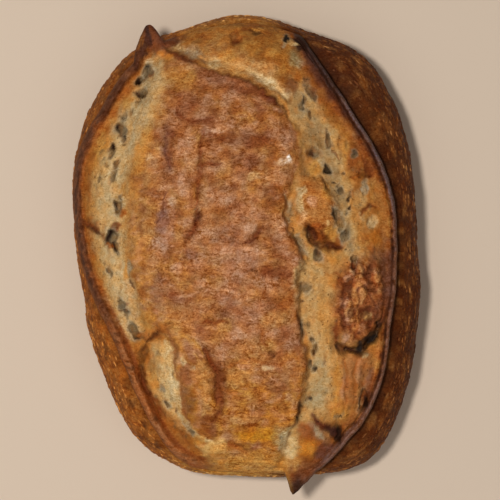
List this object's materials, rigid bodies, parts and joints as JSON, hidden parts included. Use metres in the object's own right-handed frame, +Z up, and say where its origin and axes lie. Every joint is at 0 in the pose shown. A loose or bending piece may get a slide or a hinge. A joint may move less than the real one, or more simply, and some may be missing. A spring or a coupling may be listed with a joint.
{
  "type": "country bread",
  "caption": "Whole oval country bread with long scores opened along its sides, raised ears with torn tips, pale torn crumb and a dark baked crust.",
  "frame": {"origin": "middle of the loaf's plan, on the flat base it rests on", "axes": "+Z up out of the top crust, +Y along the length towards the crumb bulge, +X across the width towards the larger ear"},
  "size_m": [0.201, 0.2747, 0.1029],
  "materials": {
    "crust": "dry, matt baked crust, golden to dark brown, with pale torn crumb in the scores"
  },
  "bodies": {
    "root": {"loaf": "crust"}
  },
  "joints": []
}
